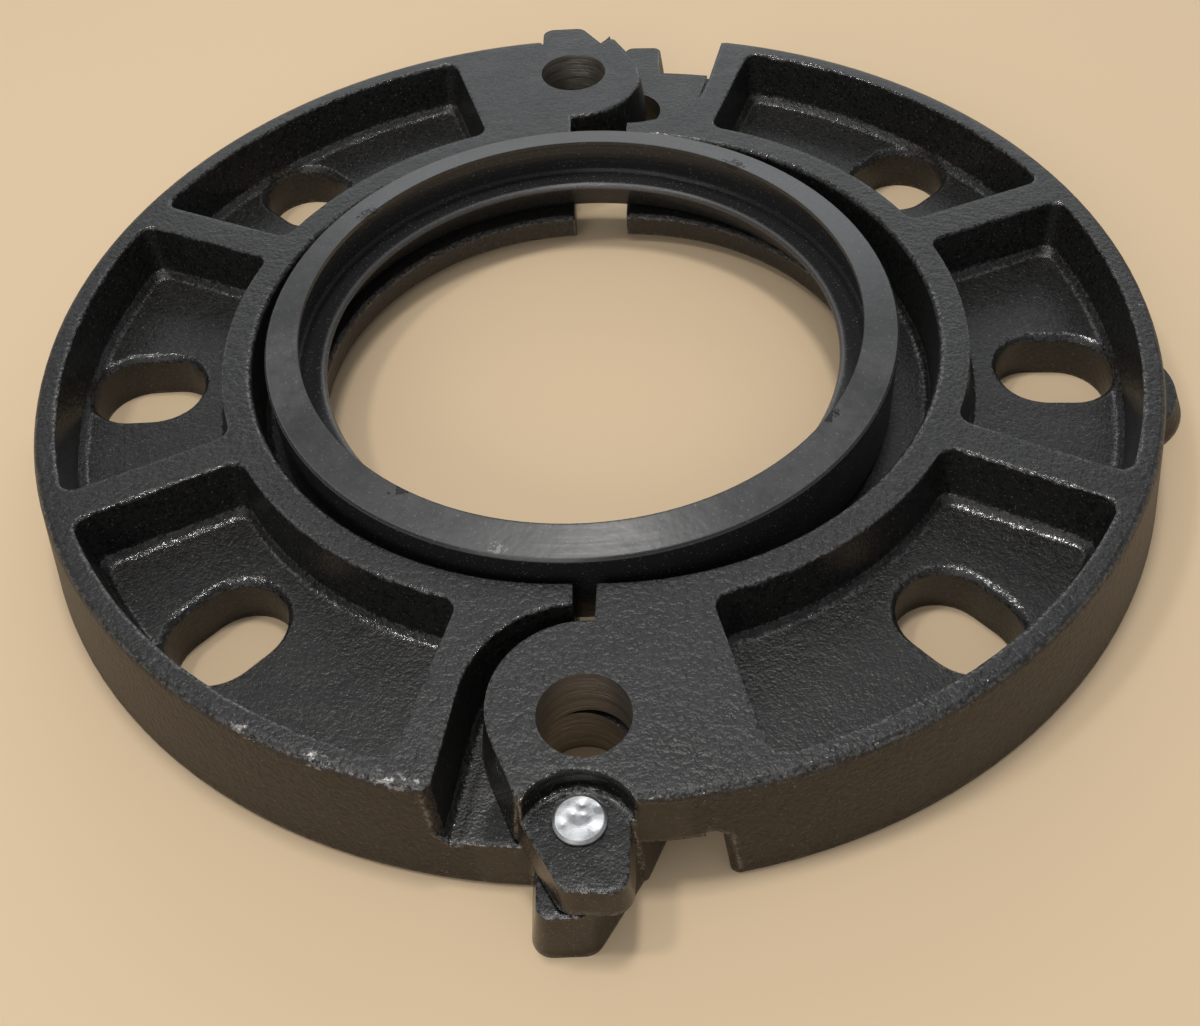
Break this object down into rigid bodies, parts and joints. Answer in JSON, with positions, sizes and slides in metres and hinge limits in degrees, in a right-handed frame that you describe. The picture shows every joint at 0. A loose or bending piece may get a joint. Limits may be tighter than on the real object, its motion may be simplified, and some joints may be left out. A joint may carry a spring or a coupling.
{
  "type": "grooved flange adapter",
  "caption": "Hinged split adapter that grips a grooved pipe and bolts to a flat flange, with pocketed cast halves, bolt slots and a rubber ring gasket.",
  "frame": {"origin": "centre of the left half's bore, on the back face", "axes": "+Z from the back face to the mating face, along the pipe; -Y to the hinge pin and +Y to the open joint; +X to the swinging half"},
  "size_m": [0.2495, 0.252, 0.0279],
  "materials": {
    "casting": "black enamel on sand-cast ductile iron",
    "gasket": "moulded black rubber, dusty on top",
    "pin": "zinc-plated steel, peened ends"
  },
  "bodies": {
    "left_half": {"left_segment": "casting", "gasket": "gasket", "hinge_pin": "pin"},
    "right_half": {"right_segment": "casting"}
  },
  "joints": [
    {"name": "hinge", "type": "hinge", "parent": "left_half", "child": "right_half", "pos_m": [0, -0.112, 0.012], "axis": [0, 0, -1], "range_deg": [-3.78, 170]}
  ]
}
